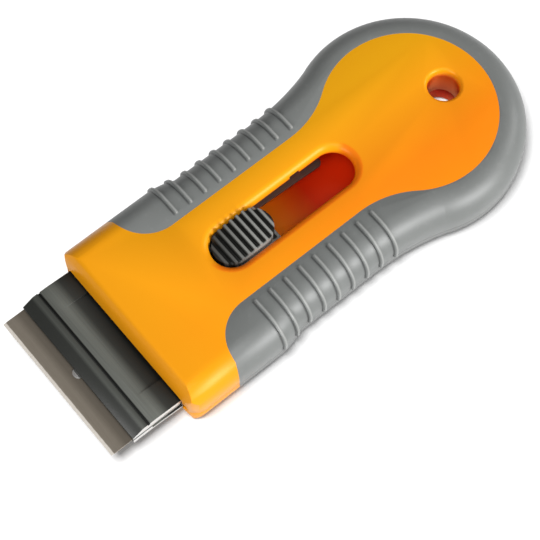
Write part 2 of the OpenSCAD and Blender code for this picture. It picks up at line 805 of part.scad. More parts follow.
// Height of the button's crown at a place along it
crown_y = button_mid_y + button_crown_back;
crown_z = handle_t + button_proud - button_crown_r;

module thumb_button() {
    color(dark_grey) difference() {
        union() {
            intersection() {
                translate([0, button_mid_y, foot_top_z]) linear_extrude(handle_t + button_proud) stadium(button_l, button_w);
                across(slot_w) translate([crown_y, crown_z]) circle(button_crown_r, $fn = 256);
            }
            translate([0, button_mid_y, foot_z]) linear_extrude(foot_t) square([foot_w, foot_l], center = true);
            translate([0, button_mid_y, stem_z]) linear_extrude(foot_z - stem_z) square([stem_w, stem_l], center = true);
        }
        across(slot_w + 2 * past) for (k = [0:valley_count - 1]) let (
            y = button_mid_y + (k - (valley_count - 1) / 2) * valley_pitch,
            z = crown_z + sqrt(pow(button_crown_r, 2) - pow(y - crown_y, 2)) - valley_deep + valley_w / 2
        ) translate([y, z]) {
            circle(d = valley_w, $fn = 32);
            translate([-valley_w / 2, 0]) square([valley_w, valley_deep + past]);
        }
        translate([0, button_mid_y, stem_z - past]) cylinder(d = coil_d + 2 * coil_gap, h = coil_seat + past);
        bar(foot_w + 2 * past, lock_y - rivet_gap, lock_y + lock_l + rivet_gap, lock_z - rivet_gap, foot_top_z);
    }
}

module lock_bar() {
    color(steel) bar(lock_w, lock_y, lock_y + lock_l, lock_z, foot_top_z);
}

// Centre line of the spring wire
coil_path_r = (coil_d - wire_d) / 2;
coil_z0 = plate_top_z + wire_d / 2;
coil_rise = stem_z + coil_seat - plate_top_z - wire_d;

function coil_ring(k) =
    let (
        a = 360 * k / turn_steps,
        z = coil_z0 + coil_rise * k / (coil_turns * turn_steps),
        climb = atan2(coil_rise / coil_turns, 2 * PI * coil_path_r)
    )
    [for (j = [0:coil_sides - 1]) let (
        b = 360 * j / coil_sides,
        out = wire_d / 2 * cos(b),
        up = wire_d / 2 * sin(b)
    ) [
        (coil_path_r + out) * cos(a) + up * sin(climb) * sin(a),
        (coil_path_r + out) * sin(a) - up * sin(climb) * cos(a),
        z + up * cos(climb)
    ]];

module button_spring() {
    n = coil_sides;
    m = coil_turns * turn_steps;
    color(steel) translate([0, button_mid_y, 0]) polyhedron(
        points = [for (k = [0:m]) each coil_ring(k)],
        faces = concat(
            [[for (j = [0:n - 1]) j]],
            [for (k = [0:m - 1], j = [0:n - 1]) let (q = (j + 1) % n) [k * n + j, (k + 1) * n + j, k * n + q]],
            [for (k = [0:m - 1], j = [0:n - 1]) let (q = (j + 1) % n) [(k + 1) * n + j, (k + 1) * n + q, k * n + q]],
            [[for (j = [0:n - 1]) m * n + n - 1 - j]]
        ),
        convexity = 8
    );
}

module blade() {
    mid_z = blade_z + blade_t / 2;
    color(blade_steel) difference() {
        across(blade_w) polygon([
            [edge_y, mid_z], [edge_y + bevel_l, blade_z], [blade_back_y, blade_z],
            [blade_back_y, blade_z + blade_t], [edge_y + bevel_l, blade_z + blade_t]
        ]);
        translate([0, edge_y + blade_slot_from_edge + blade_slot_l / 2, blade_z - past])
            linear_extrude(blade_t + 2 * past) stadium(blade_slot_l, blade_slot_w);
        for (side = [-1, 1]) translate([side * blade_w / 2, edge_y + notch_from_edge, blade_z - past])
            cylinder(d = notch_d, h = blade_t + 2 * past);
    }
}

module blade_spine() {
    color(spine_steel) across(blade_w) difference() {
        translate([spine_front_y, blade_z - spine_drop])
            square([spine_back_y - spine_front_y, spine_drop + blade_t + spine_rise]);
        translate([spine_front_y - past, blade_z]) square([spine_d + past, blade_t]);
    }
}

front_shell();
back_shell();
front_grip();
back_grip();
shell_screws();
blade_holder();
slide_plate();
holder_rivets();
slide_block();
block_rivets();
detent_spring();
thumb_button();
lock_bar();
button_spring();
blade();
blade_spine();
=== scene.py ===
"""Retractable razor blade scraper: finishes, dressed pieces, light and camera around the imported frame."""

import json
import logging
import math
from dataclasses import dataclass
from enum import Enum
from typing import Any, Iterable, Optional, Sequence, Union

import bpy
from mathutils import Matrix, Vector
from mathutils.bvhtree import BVHTree

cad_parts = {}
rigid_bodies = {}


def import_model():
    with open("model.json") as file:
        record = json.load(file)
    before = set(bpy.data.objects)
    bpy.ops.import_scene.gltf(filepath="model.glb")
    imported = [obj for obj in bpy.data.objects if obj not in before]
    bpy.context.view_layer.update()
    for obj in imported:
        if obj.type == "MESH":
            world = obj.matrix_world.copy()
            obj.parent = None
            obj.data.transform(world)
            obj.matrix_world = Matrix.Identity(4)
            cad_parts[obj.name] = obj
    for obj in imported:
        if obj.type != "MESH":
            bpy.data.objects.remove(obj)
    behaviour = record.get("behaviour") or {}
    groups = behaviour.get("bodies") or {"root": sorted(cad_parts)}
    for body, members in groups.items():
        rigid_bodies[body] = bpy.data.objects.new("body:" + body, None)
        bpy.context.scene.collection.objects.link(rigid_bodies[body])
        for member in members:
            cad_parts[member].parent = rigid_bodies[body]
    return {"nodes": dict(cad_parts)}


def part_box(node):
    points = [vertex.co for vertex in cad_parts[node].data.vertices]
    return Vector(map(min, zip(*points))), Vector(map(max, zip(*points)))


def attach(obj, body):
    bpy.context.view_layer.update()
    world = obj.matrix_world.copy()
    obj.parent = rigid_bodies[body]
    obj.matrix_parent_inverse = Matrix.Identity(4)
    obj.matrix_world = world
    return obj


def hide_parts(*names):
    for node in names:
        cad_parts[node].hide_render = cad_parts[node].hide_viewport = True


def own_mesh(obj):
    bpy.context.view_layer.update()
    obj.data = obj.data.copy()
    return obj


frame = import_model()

LOG = logging.getLogger("scraper")
MM = 0.001
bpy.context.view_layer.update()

FLAT_DEG = 0.5
SMOOTH_DEG = 32.0

Colour = tuple[float, float, float]
Point = tuple[float, float, float]
Span = tuple[float, float]


class Body(Enum):
    """Moving bodies of the frame."""

    HANDLE = "handle"
    CARRIAGE = "carriage"
    BUTTON = "button"
    BLADE = "blade"


class Slot(Enum):
    """Material slots of the record."""

    ORANGE = "orange_plastic"
    GRIP = "grey_grip"
    DARK = "dark_plastic"
    ALUMINIUM = "black_aluminium"
    PLATED = "plated_steel"
    SPRING = "spring_steel"
    BLADE = "blade_steel"
    SPINE = "spine_steel"


# Places taken from the frame


def box_mm(node: str) -> tuple[Vector, Vector]:
    """Gives a CAD node's lowest and highest corner at rest, in millimetres."""
    low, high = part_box(node)
    return low / MM, high / MM


def middle_mm(node: str) -> Vector:
    """Gives the middle of a CAD node's box at rest, in millimetres."""
    low, high = box_mm(node)
    return (low + high) / 2


@dataclass(frozen=True)
class RibPlaces:
    """Places of the grip's ribs along the handle, the first at from_mouth_mm behind the mouth."""

    count: int = 9
    from_mouth_mm: float = 25.2
    pitch_mm: float = 4.067

    def first_y_mm(self) -> float:
        """Gives the first rib's place."""
        return box_mm("front_shell")[0].y + self.from_mouth_mm

    def all_y_mm(self) -> list[float]:
        """Gives every rib's place."""
        first = self.first_y_mm()
        return [first + index * self.pitch_mm for index in range(self.count)]


# Shader maths


class Signal:
    """A value socket that can be used in arithmetic, which adds Math nodes to its tree."""

    def __init__(self, tree: bpy.types.NodeTree, socket: bpy.types.NodeSocket) -> None:
        """Wraps a socket.

        Args:
            tree: The node tree that the socket belongs to.
            socket: An output socket with a single number.
        """
        self.tree = tree
        self.socket = socket

    def _math(self, operation: str, *values: Union["Signal", float], clamp: bool = False) -> "Signal":
        """Adds one Math node.

        Args:
            operation: The node's operation.
            values: Its inputs in order.
            clamp: Whether the result is kept between 0 and 1.

        Returns:
            The node's result.
        """
        node = self.tree.nodes.new("ShaderNodeMath")
        node.operation = operation
        node.use_clamp = clamp
        for index, value in enumerate(values):
            if isinstance(value, Signal):
                self.tree.links.new(value.socket, node.inputs[index])
            else:
                node.inputs[index].default_value = float(value)
        return Signal(self.tree, node.outputs[0])

    def __add__(self, other: Union["Signal", float]) -> "Signal":
        """Adds."""
        return self._math("ADD", self, other)

    __radd__ = __add__

    def __mul__(self, other: Union["Signal", float]) -> "Signal":
        """Multiplies."""
        return self._math("MULTIPLY", self, other)

    def __sub__(self, other: Union["Signal", float]) -> "Signal":
        """Subtracts."""
        return self._math("SUBTRACT", self, other)

    def __rsub__(self, other: float) -> "Signal":
        """Subtracts from a number."""
        return self._math("SUBTRACT", other, self)

    def __abs__(self) -> "Signal":
        """Takes the size without the sign."""
        return self._math("ABSOLUTE", self)

    def power(self, exponent: float) -> "Signal":
        """Raises to a power."""
        return self._math("POWER", self, exponent)

    def clamped(self) -> "Signal":
        """Keeps the value between 0 and 1."""
        return self._math("ADD", self, 0.0, clamp=True)

    def fraction(self) -> "Signal":
        """Takes what lies past the whole number below the value."""
        return self._math("FRACT", self)

    def cosine(self) -> "Signal":
        """Takes the cosine of the value in radians."""
        return self._math("COSINE", self)

    def larger(self, other: Union["Signal", float]) -> "Signal":
        """Takes the larger of two values."""
        return self._math("MAXIMUM", self, other)

    def ramp(self, low: float, high: float) -> "Signal":
        """Rises from 0 at low to 1 at high, and falls where high is below low.

        Args:
            low: The value that gives 0.
            high: The value that gives 1.

        Returns:
            The ramp, kept between 0 and 1.
        """
        return ((self - low) * (1.0 / (high - low))).clamped()

    def over_mm(self, span: Span) -> "Signal":
        """Rises from 0 to 1 over a span in millimetres, and falls where its second end is the lower one."""
        return self.ramp(span[0] * MM, span[1] * MM)

    def within_mm(self, middle: float, half: float, soft: float) -> "Signal":
        """Marks a band.

        Args:
            middle: Its middle in millimetres.
            half: Half of its width in millimetres.
            soft: How far past that it fades, in millimetres.

        Returns:
            1 inside the band and 0 outside.
        """
        return abs(self - middle * MM).over_mm((half + soft, half))


@dataclass(frozen=True)
class Grain:
    """Noise of one size.

    It has the size of its grains, the number and weight of its finer layers, how much finer it is along each
    axis, and the two levels that it is cut between.
    """

    size_mm: float
    layers: float = 2.0
    weight: float = 0.5
    stretch: Point = (1.0, 1.0, 1.0)
    levels: Optional[Span] = None


class Shader:
    """Builds one material's node tree."""

    def __init__(self, name: str) -> None:
        """Starts a material with one Principled shader.

        Args:
            name: The material's name.
        """
        self.material = bpy.data.materials.new(name)
        self.material.use_nodes = True
        self.tree = self.material.node_tree
        self.surface = self.tree.nodes["Principled BSDF"]
        self.coordinates = self.add("ShaderNodeTexCoord").outputs["Object"]
        split = self.add("ShaderNodeSeparateXYZ", inputs={"Vector": self.coordinates})
        self.x, self.y, self.z = (Signal(self.tree, split.outputs[i]) for i in range(3))

    def add(
        self,
        kind: str,
        settings: Optional[dict[str, Any]] = None,
        inputs: Optional[dict[Union[str, int], Any]] = None,
        stops: Sequence[tuple[float, Colour]] = (),
    ) -> bpy.types.Node:
        """Adds any node.

        Args:
            kind: The node's type.
            settings: Properties of the node, which are set first.
            inputs: Values or links of its sockets.
            stops: Positions and colours of a ramp.

        Returns:
            The new node.
        """
        node = self.tree.nodes.new(kind)
        for key, value in (settings or {}).items():
            setattr(node, key, value)
        if stops:
            elements = node.color_ramp.elements
            while len(elements) < len(stops):
                elements.new(1.0)
            for element, (position, colour) in zip(elements, stops):
                element.position = position
                element.color = (*colour, 1.0)
        for key, value in (inputs or {}).items():
            self.put(node.inputs[key], value)
        return node

    def put(self, socket: bpy.types.NodeSocket, value: Any) -> None:
        """Links a signal or socket to an input, or sets its value.

        Args:
            socket: The input.
            value: A Signal, an output socket, a number or a tuple.
        """
        if isinstance(value, Signal):
            self.tree.links.new(value.socket, socket)
        elif isinstance(value, bpy.types.NodeSocket):
            self.tree.links.new(value, socket)
        elif isinstance(value, tuple) and len(value) == 3 and socket.type == "RGBA":
            socket.default_value = (*value, 1.0)
        else:
            socket.default_value = value

    def graded(self, share: Signal, stops: Sequence[tuple[float, Colour]]) -> bpy.types.NodeSocket:
        """Picks a colour from a row of stops.

        Args:
            share: The place in the row, from 0 to 1.
            stops: Positions and colours.

        Returns:
            The colour.
        """
        return self.add("ShaderNodeValToRGB", inputs={"Fac": share}, stops=stops).outputs["Color"]

    def stretched(self, scale: Point) -> bpy.types.NodeSocket:
        """Scales the object's coordinates along each axis."""
        return self.add("ShaderNodeMapping", inputs={"Vector": self.coordinates, "Scale": scale}).outputs[0]

    def noise(self, grain: Grain) -> Signal:
        """Makes soft noise.

        Args:
            grain: Its size and form.

        Returns:
            The noise, about 0.5 on average, or from 0 to 1 between the grain's levels.
        """
        node = self.add(
            "ShaderNodeTexNoise",
            inputs={
                "Vector": self.stretched(grain.stretch),
                "Scale": 1.0 / (grain.size_mm * MM),
                "Detail": grain.layers,
                "Roughness": grain.weight,
            },
        )
        noise = Signal(self.tree, node.outputs[0])
        return noise.ramp(*grain.levels) if grain.levels else noise

    def cells(self, size_mm: float) -> Signal:
        """Makes rounded cells, 0 in the middle of each.

        Args:
            size_mm: Distance from cell to cell.

        Returns:
            The distance from the middle of the nearest cell.
        """
        node = self.add(
            "ShaderNodeTexVoronoi",
            settings={"feature": "SMOOTH_F1"},
            inputs={"Vector": self.coordinates, "Scale": 1.0 / (size_mm * MM)},
        )
        return Signal(self.tree, node.outputs["Distance"])

    def mixed(self, share: Union[Signal, float], first: Any, second: Any) -> bpy.types.NodeSocket:
        """Mixes two colours.

        Args:
            share: How much of the second shows.
            first: Colour or socket.
            second: Colour or socket.

        Returns:
            The mixed colour.
        """
        node = self.add("ShaderNodeMix", settings={"data_type": "RGBA"})
        self.put(node.inputs[0], share)
        self.put(node.inputs[6], first)
        self.put(node.inputs[7], second)
        return node.outputs[2]

    def bump(self, height: Signal, depth_mm: float, strength: float = 1.0) -> None:
        """Puts a relief on the surface.

        Args:
            height: The relief, from 0 to 1.
            depth_mm: Its depth.
            strength: How strongly it shows.
        """
        node = self.add(
            "ShaderNodeBump", inputs={"Height": height, "Distance": depth_mm * MM, "Strength": strength}
        )
        self.tree.links.new(node.outputs[0], self.surface.inputs["Normal"])

    def finish(self, **sockets: Any) -> bpy.types.Material:
        """Sets the shader's own sockets.

        Args:
            sockets: Socket names with underscores for spaces, and their values.

        Returns:
            The material.
        """
        for key, value in sockets.items():
            self.put(self.surface.inputs[key.replace("_", " ")], value)
        return self.material


# Finishes


@dataclass(frozen=True)
class Recess:
    """Painted shade in the slot and hole, lighter towards the slot's front end, and on the slot's right and
    rear rim.

    Each span is a fade along one axis in millimetres. coloured_mm holds the front end, back end and half
    width of the space behind the slot, hole_mm the middle and radius of the hole, and rim_turn_mm the place
    where the rim starts to turn round the slot's rear end. glow is how much the bore's reflections take its
    own colour.
    """

    near: Colour
    far: Colour
    rim: Colour
    bore: tuple[Colour, Colour] = ((0.45, 0.006, 0.001), (0.95, 0.14, 0.002))
    bore_z_mm: Span = (5.0, 10.5)
    glow: float = 0.7
    rim_mm: Span = (1.9, 1.4)
    rim_x_mm: Span = (0.5, 2.5)
    rim_turn_mm: float = 13.0
    rim_turn_share: float = 0.8
    rim_shade_share: float = 0.75
    slot_r_mm: float = 4.85
    slot_ends_mm: Span = (-19.9, 18.6)
    depth_z_mm: Span = (11.4, 10.4)
    floor_z_mm: Span = (0.8, 1.2)
    near_far_y_mm: Span = (-4.0, 9.0)
    coloured_mm: tuple[float, float, float] = (-21.0, 27.0, 9.5)
    hole_mm: Span = (46.35, 4.1)
    soft_mm: float = 0.1

    def over(self, shader: Shader, colour: Any) -> bpy.types.NodeSocket:
        """Lays the painted shade over the outer colour.

        Args:
            shader: The material's builder.
            colour: The outer colour.

        Returns:
            The mixed colour.
        """
        front, back, half_w = self.coloured_mm
        slot = shader.y.within_mm((front + back) / 2, (back - front) / 2, 2 * self.soft_mm)
        slot = slot * shader.x.within_mm(0.0, half_w - self.soft_mm, 2 * self.soft_mm)
        slot = slot * shader.z.over_mm(self.floor_z_mm) * shader.z.over_mm(self.depth_z_mm)
        hole = self.inside_hole(shader)
        # Painted shade: a deeper red behind the slot and in the hole, lighter towards the slot's front end
        # and the hole's top, and darker orange on the slot's right and rear rim
        painted_shade = shader.mixed(shader.y.over_mm(self.near_far_y_mm), self.near, self.far)
        bore = shader.mixed(shader.z.over_mm(self.bore_z_mm), *self.bore)
        painted_shade = shader.mixed(hole, painted_shade, bore)
        colour = shader.mixed(self.rim_shade(shader) * self.rim_shade_share, colour, self.rim)
        return shader.mixed(slot.larger(hole), colour, painted_shade)

    def inside_hole(self, shader: Shader) -> Signal:
        """Marks the wall of the hanging hole, from 0 to 1."""
        middle, radius = self.hole_mm
        reach = (shader.x.power(2.0) + (shader.y - middle * MM).power(2.0)).power(0.5)
        return reach.over_mm((radius + self.soft_mm, radius)) * shader.z.over_mm(self.depth_z_mm)

    def rim_shade(self, shader: Shader) -> Signal:
        """Marks the painted shade on the slot's rounded rim, on its right side and rear end.

        Args:
            shader: The material's builder.

        Returns:
            The mark, from 0 to 1.
        """
        first, last = (end * MM for end in self.slot_ends_mm)
        radius = self.slot_r_mm * MM
        past = (abs(shader.y - (first + last) / 2) - ((last - first) / 2 - radius)).larger(0.0)
        away = (shader.x.power(2.0) + past.power(2.0)).power(0.5) - radius
        turned = (shader.y - self.rim_turn_mm * MM).larger(0.0) * self.rim_turn_share
        return away.over_mm(self.rim_mm) * (shader.x + turned).over_mm(self.rim_x_mm)


@dataclass(frozen=True)
class PaintedLightFade:
    """Painted light and shade towards the head: yellower on the left side, deeper orange on the right."""

    painted_light_yellow: Colour
    along_y_mm: Span
    across_x_mm: Span
    share: float = 0.8


@dataclass(frozen=True)
class CrestHighlight:
    """Painted highlight on the crests of the button's ridges and its right side, with painted shade on the
    front crests.
    """

    colour: Colour
    middle_y_mm: float
    pitch_mm: float
    front_shade_y_mm: Span
    least_highlight: float
    side_x_mm: Span
    crest: Span = (0.0, 0.85)

    def over(self, shader: Shader, colour: Any) -> bpy.types.NodeSocket:
        """Lays the painted highlight over the plastic's own colour.

        Args:
            shader: The material's builder.
            colour: The plastic's colour.

        Returns:
            The mixed colour.
        """
        turn = (shader.y - self.middle_y_mm * MM) * (math.tau / (self.pitch_mm * MM))
        # Painted highlight on the crests and the right side wall, weaker on the front crests, which keep
        # painted shade
        highlight_reach = shader.y.over_mm(self.front_shade_y_mm) * (1.0 - self.least_highlight) + self.least_highlight
        painted_highlight = turn.cosine().ramp(*self.crest).larger(shader.x.over_mm(self.side_x_mm))
        return shader.mixed(painted_highlight * highlight_reach, colour, self.colour)


@dataclass(frozen=True)
class MouldedPlastic:
    """Spark-eroded moulded plastic with a fine grain, faint clouds and light scuffs."""

    name: str
    colour: Colour
    shade: Colour
    roughness: float
    specular: float = 0.5
    tint: Colour = (1.0, 1.0, 1.0)
    recess: Optional[Recess] = None
    fade: Optional[PaintedLightFade] = None
    crests: Optional[CrestHighlight] = None
    grain: Grain = Grain(0.16)
    cloud: Grain = Grain(14.0, 3.0)
    specks: Grain = Grain(0.9, levels=(0.62, 0.8))
    scuffs: Grain = Grain(2.2, 6.0, 0.75, (1.0, 0.25, 1.0), (0.52, 0.72))
    cloud_levels: Span = (0.3, 0.7)
    cloud_share: float = 0.5
    speck_share: float = 0.15
    scuff_height: float = 0.12
    cloud_roughness: float = 0.06
    scuff_gloss: float = 0.05
    deep_mm: float = 0.012
    relief: float = 0.55

    def material(self) -> bpy.types.Material:
        """Builds the material."""
        shader = Shader(self.name)
        cloud = shader.noise(self.cloud)
        share = cloud.ramp(*self.cloud_levels) * self.cloud_share
        share = share + shader.noise(self.specks) * self.speck_share
        shade: Any = self.shade
        # Painted light and shade: towards the head, yellower on the left and deeper orange on the right
        if self.fade:
            along = shader.y.over_mm(self.fade.along_y_mm)
            share = share * (1.0 - self.fade.share) + along * self.fade.share
            shade = shader.mixed(shader.x.over_mm(self.fade.across_x_mm), self.fade.painted_light_yellow, self.shade)
        colour = shader.mixed(share, self.colour, shade)
        metallic: Union[Signal, float] = 0.0
        # Painted shade inside the slot and the hole, and on the slot's rim
        if self.recess:
            colour = self.recess.over(shader, colour)
            metallic = self.recess.inside_hole(shader) * self.recess.glow
        # Painted highlight on the button's crests
        if self.crests:
            colour = self.crests.over(shader, colour)
        scuffs = shader.noise(self.scuffs)
        shader.bump(shader.noise(self.grain) + scuffs * self.scuff_height, self.deep_mm, self.relief)
        return shader.finish(
            Base_Color=colour,
            Metallic=metallic,
            Roughness=self.roughness + cloud * self.cloud_roughness - scuffs * self.scuff_gloss,
            Specular_IOR_Level=self.specular,
            Specular_Tint=(*self.tint, 1.0),
        )


@dataclass(frozen=True)
class SoftGrip:
    """Matt moulded rubber with a faint sheen, a little dust, painted highlights on its ribs and painted shade
    at their feet.

    crest_mm and corner_mm hold the distance from a rib's middle and the reach of the fade on both sides.
    row_end_mm is how far the row goes on past its first and last rib, and row_soft_mm how far it fades there.
    """

    name: str
    colour: Colour
    shade: Colour
    roughness: float
    # Painted highlight on the ribs' crests and painted shade at their feet
    painted_highlight: Colour = (0.36, 0.365, 0.35)
    foot_shade: Colour = (0.05, 0.053, 0.052)
    dusty: Colour = (0.42, 0.42, 0.40)
    places: RibPlaces = RibPlaces()
    row_end_mm: float = 0.8
    row_soft_mm: float = 0.2
    inner_x_mm: Span = (13.0, 13.4)
    seam_z_mm: Span = (4.4, 4.8)
    crest_mm: tuple[float, Span] = (0.12, (0.34, 0.08))
    corner_mm: tuple[float, Span] = (-0.62, (0.3, 0.05))
    crest_share: float = 0.7
    corner_share: float = 0.75
    grain: Grain = Grain(0.2, 3.0)
    cloud: Grain = Grain(9.0, 4.0, 0.6)
    dust: Grain = Grain(1.6, 5.0, 0.7, levels=(0.55, 0.8))
    cloud_levels: Span = (0.35, 0.65)
    cloud_share: float = 0.6
    dust_share: float = 0.1
    uneven_roughness: float = 0.08
    specular: float = 0.65
    sheen: float = 0.12
    sheen_roughness: float = 0.5
    pit_mm: float = 0.34
    grain_height: float = 0.7
    pit_height: float = 0.3
    deep_mm: float = 0.02
    relief: float = 0.6

    def on_ribs(self, shader: Shader, colour: Any) -> bpy.types.NodeSocket:
        """Lays a painted highlight on the ribs' crests and painted shade in the corner in front of each.

        Args:
            shader: The material's builder.
            colour: The grip's colour.

        Returns:
            The mixed colour.
        """
        # Whole turns keep the value above 0 in front of the first rib, and half a turn centres it on each rib
        whole_turns, half_turn = 100, 0.5
        first, pitch = self.places.first_y_mm(), self.places.pitch_mm
        half = (self.places.count - 1) * pitch / 2
        turn = (shader.y - first * MM) * (1.0 / (pitch * MM)) + (whole_turns + half_turn)
        off = (turn.fraction() - half_turn) * pitch
        row = shader.y.within_mm(first + half, half + self.row_end_mm, self.row_soft_mm)
        row = row * abs(shader.x).over_mm(self.inner_x_mm) * shader.z.over_mm(self.seam_z_mm)
        marks = (self.crest_mm, self.corner_mm)
        crest, corner = (abs(off - place).ramp(*reach) * row for place, reach in marks)
        # Painted shade in the corner in front of each rib, then a painted highlight on each crest
        colour = shader.mixed(corner * self.corner_share, colour, self.foot_shade)
        return shader.mixed(crest * self.crest_share, colour, self.painted_highlight)

    def material(self) -> bpy.types.Material:
        """Builds the material."""
        shader = Shader(self.name)
        cloud = shader.noise(self.cloud)
        dust = shader.noise(self.dust)
        colour = shader.mixed(cloud.ramp(*self.cloud_levels) * self.cloud_share, self.colour, self.shade)
        colour = self.on_ribs(shader, shader.mixed(dust * self.dust_share, colour, self.dusty))
        height = shader.noise(self.grain) * self.grain_height + shader.cells(self.pit_mm) * self.pit_height
        shader.bump(height, self.deep_mm, self.relief)
        return shader.finish(
            Base_Color=colour,
            Roughness=self.roughness + cloud * self.uneven_roughness + dust * self.uneven_roughness,
            Specular_IOR_Level=self.specular,
            Sheen_Weight=self.sheen,
            Sheen_Roughness=self.sheen_roughness,
        )


@dataclass(frozen=True)
class AnodisedExtrusion:
    """Black anodised aluminium with painted light and shade along it, lighter on its flat, and with bright
    sawn ends.

    The painted light and shade cover a stretch behind the lip, and each tone is a share of that stretch with
    how light the black is there. sawn_mm is how deep behind its end the bare metal fades in. metallic is
    given for the black face and for the bare end.
    """

    name: str
    half_width_mm: float
    lip_y_mm: float
    light_and_shade_mm: Span = (-0.8, 13.2)
    sawn_mm: Span = (0.05, 0.01)
    tint: Colour = (1.0, 1.05, 0.93)
    scratch: Colour = (0.03, 0.031, 0.028)
    bare: Colour = (0.72, 0.71, 0.69)
    sawn: Colour = (0.48, 0.47, 0.45)
    lines: Grain = Grain(0.22, stretch=(0.015, 1.0, 1.0))
    cloud: Grain = Grain(6.0, 3.0, 0.6, (0.3, 1.0, 1.0))
    marks: Grain = Grain(0.25, stretch=(1.0, 0.1, 1.0))
    drift_mm: float = 0.12
    line_levels: Span = (0.35, 0.8)
    line_share: float = 0.22
    line_height: float = 0.5
    mark_levels: Span = (0.35, 0.7)
    mark_share: float = 0.5
    metallic: Span = (0.1, 0.85)
    roughness: float = 0.36
    uneven_roughness: float = 0.06
    specular: float = 0.45
    deep_mm: float = 0.008
    relief: float = 0.4
    # Painted light and shade along the holder: dark lip, painted highlight on the lip's crest, painted shade
    # in the groove, a lighter flat as a painted reflection, painted shadow of the handle towards the mouth
    light_and_shade_tones: tuple[tuple[float, float], ...] = (
        (0.00, 0.026),
        (0.22, 0.030),
        (0.265, 0.080),
        (0.335, 0.055),
        (0.350, 0.010),
        (0.386, 0.010),
        (0.400, 0.120),
        (0.56, 0.150),
        (0.63, 0.118),
        (0.74, 0.034),
        (0.84, 0.022),
        (0.98, 0.008),
    )

    def material(self) -> bpy.types.Material:
        """Builds the material."""
        shader = Shader(self.name)
        lines = shader.noise(self.lines)
        marks = shader.noise(self.marks)
        sawn = (self.half_width_mm * MM - abs(shader.x)).over_mm(self.sawn_mm)
        place = shader.y - self.lip_y_mm * MM + (shader.noise(self.cloud) - 0.5) * (self.drift_mm * MM)
        # The black carries the painted light and shade
        stops = [(at, tuple(tone * part for part in self.tint)) for at, tone in self.light_and_shade_tones]
        black = shader.graded(place.over_mm(self.light_and_shade_mm), stops)
        black = shader.mixed(lines.ramp(*self.line_levels) * self.line_share, black, self.scratch)
        metal = shader.mixed(marks.ramp(*self.mark_levels) * self.mark_share, self.bare, self.sawn)
        shader.bump(lines * (1.0 - sawn) * self.line_height + marks * sawn, self.deep_mm, self.relief)
        black_metallic, bare_metallic = self.metallic
        return shader.finish(
            Base_Color=shader.mixed(sawn, black, metal),
            Metallic=sawn * (bare_metallic - black_metallic) + black_metallic,
            Roughness=self.roughness + (lines - sawn) * self.uneven_roughness,
            Specular_IOR_Level=self.specular,
        )


@dataclass(frozen=True)
class BrushedMetal:
    """Bright metal with fine lines and small stains."""

    name: str
    colour: Colour
    shade: Colour
    roughness: float
    lines: Grain = Grain(0.12, 4.0, 0.6, (0.04, 1.0, 1.0))
    stains: Grain = Grain(3.0, 5.0, 0.65, levels=(0.5, 0.75))
    line_levels: Span = (0.3, 0.75)
    line_share: float = 0.6
    stain_share: float = 0.3
    line_roughness: float = 0.12
    stain_roughness: float = 0.1
    deep_mm: float = 0.006
    relief: float = 0.5
    metallic: float = 1.0

    def material(self) -> bpy.types.Material:
        """Builds the material."""
        shader = Shader(self.name)
        lines = shader.noise(self.lines)
        stains = shader.noise(self.stains)
        share = lines.ramp(*self.line_levels) * self.line_share + stains * self.stain_share
        shader.bump(lines, self.deep_mm, self.relief)
        return shader.finish(
            Base_Color=shader.mixed(share, self.colour, self.shade),
            Metallic=self.metallic,
            Roughness=self.roughness + lines * self.line_roughness + stains * self.stain_roughness,
        )


@dataclass(frozen=True)
class GroundBlade:
    """Thin blued blade steel with its bevel ground bright, darker in a band towards the holder.

    bevel_mm and band_mm are distances from the edge, each with the span of its fade. metallic and roughness
    are given for the rolled steel and for the ground bevel.
    """

    name: str
    edge_y_mm: float
    bevel_mm: float
    bevel_fade_mm: Span = (0.16, 0.02)
    band_mm: float = 2.6
    band_fade_mm: float = 1.6
    colour: Colour = (0.44, 0.385, 0.315)
    shade: Colour = (0.36, 0.31, 0.25)
    near_holder: Colour = (0.16, 0.135, 0.105)
    ground: Colour = (0.86, 0.80, 0.72)
    stroke: Colour = (0.50, 0.46, 0.41)
    edges: Grain = Grain(1.1, 3.0, 0.6)
    rolled: Grain = Grain(0.2, 4.0, 0.6, (0.03, 1.0, 1.0))
    strokes: Grain = Grain(0.07, 3.0, 0.7, (1.0, 0.06, 1.0))
    cloud: Grain = Grain(4.0, 5.0, 0.6, levels=(0.35, 0.75))
    wobble_mm: float = 0.18
    rolled_levels: Span = (0.3, 0.7)
    rolled_share: float = 0.5
    rolled_height: float = 0.4
    cloud_share: float = 0.4
    cloud_roughness: float = 0.08
    near_holder_share: float = 0.6
    stroke_levels: Span = (0.35, 0.7)
    stroke_share: float = 0.5
    metallic: Span = (0.85, 0.40)
    roughness: Span = (0.34, 0.46)
    deep_mm: float = 0.012
    relief: float = 0.6

    def material(self) -> bpy.types.Material:
        """Builds the material."""
        shader = Shader(self.name)
        depth = shader.y * (1.0 / MM) - self.edge_y_mm + shader.noise(self.edges) * self.wobble_mm
        bevel = (depth - self.bevel_mm).ramp(*self.bevel_fade_mm)
        band = depth.ramp(self.band_mm, self.band_mm + self.band_fade_mm)
        rolled, strokes, cloud = (shader.noise(grain) for grain in (self.rolled, self.strokes, self.cloud))
        share = rolled.ramp(*self.rolled_levels) * self.rolled_share + cloud * self.cloud_share
        steel = shader.mixed(share, self.colour, self.shade)
        steel = shader.mixed(band * self.near_holder_share, steel, self.near_holder)
        struck = strokes.ramp(*self.stroke_levels) * self.stroke_share
        bright = shader.mixed(struck, self.ground, self.stroke)
        shader.bump(rolled * (1.0 - bevel) * self.rolled_height + strokes * bevel, self.deep_mm, self.relief)
        pairs = (self.metallic, self.roughness)
        metallic, roughness = (bevel * (ground - flat) + flat for flat, ground in pairs)
        return shader.finish(
            Base_Color=shader.mixed(bevel, steel, bright),
            Metallic=metallic,
            Roughness=roughness + cloud * self.cloud_roughness,
        )


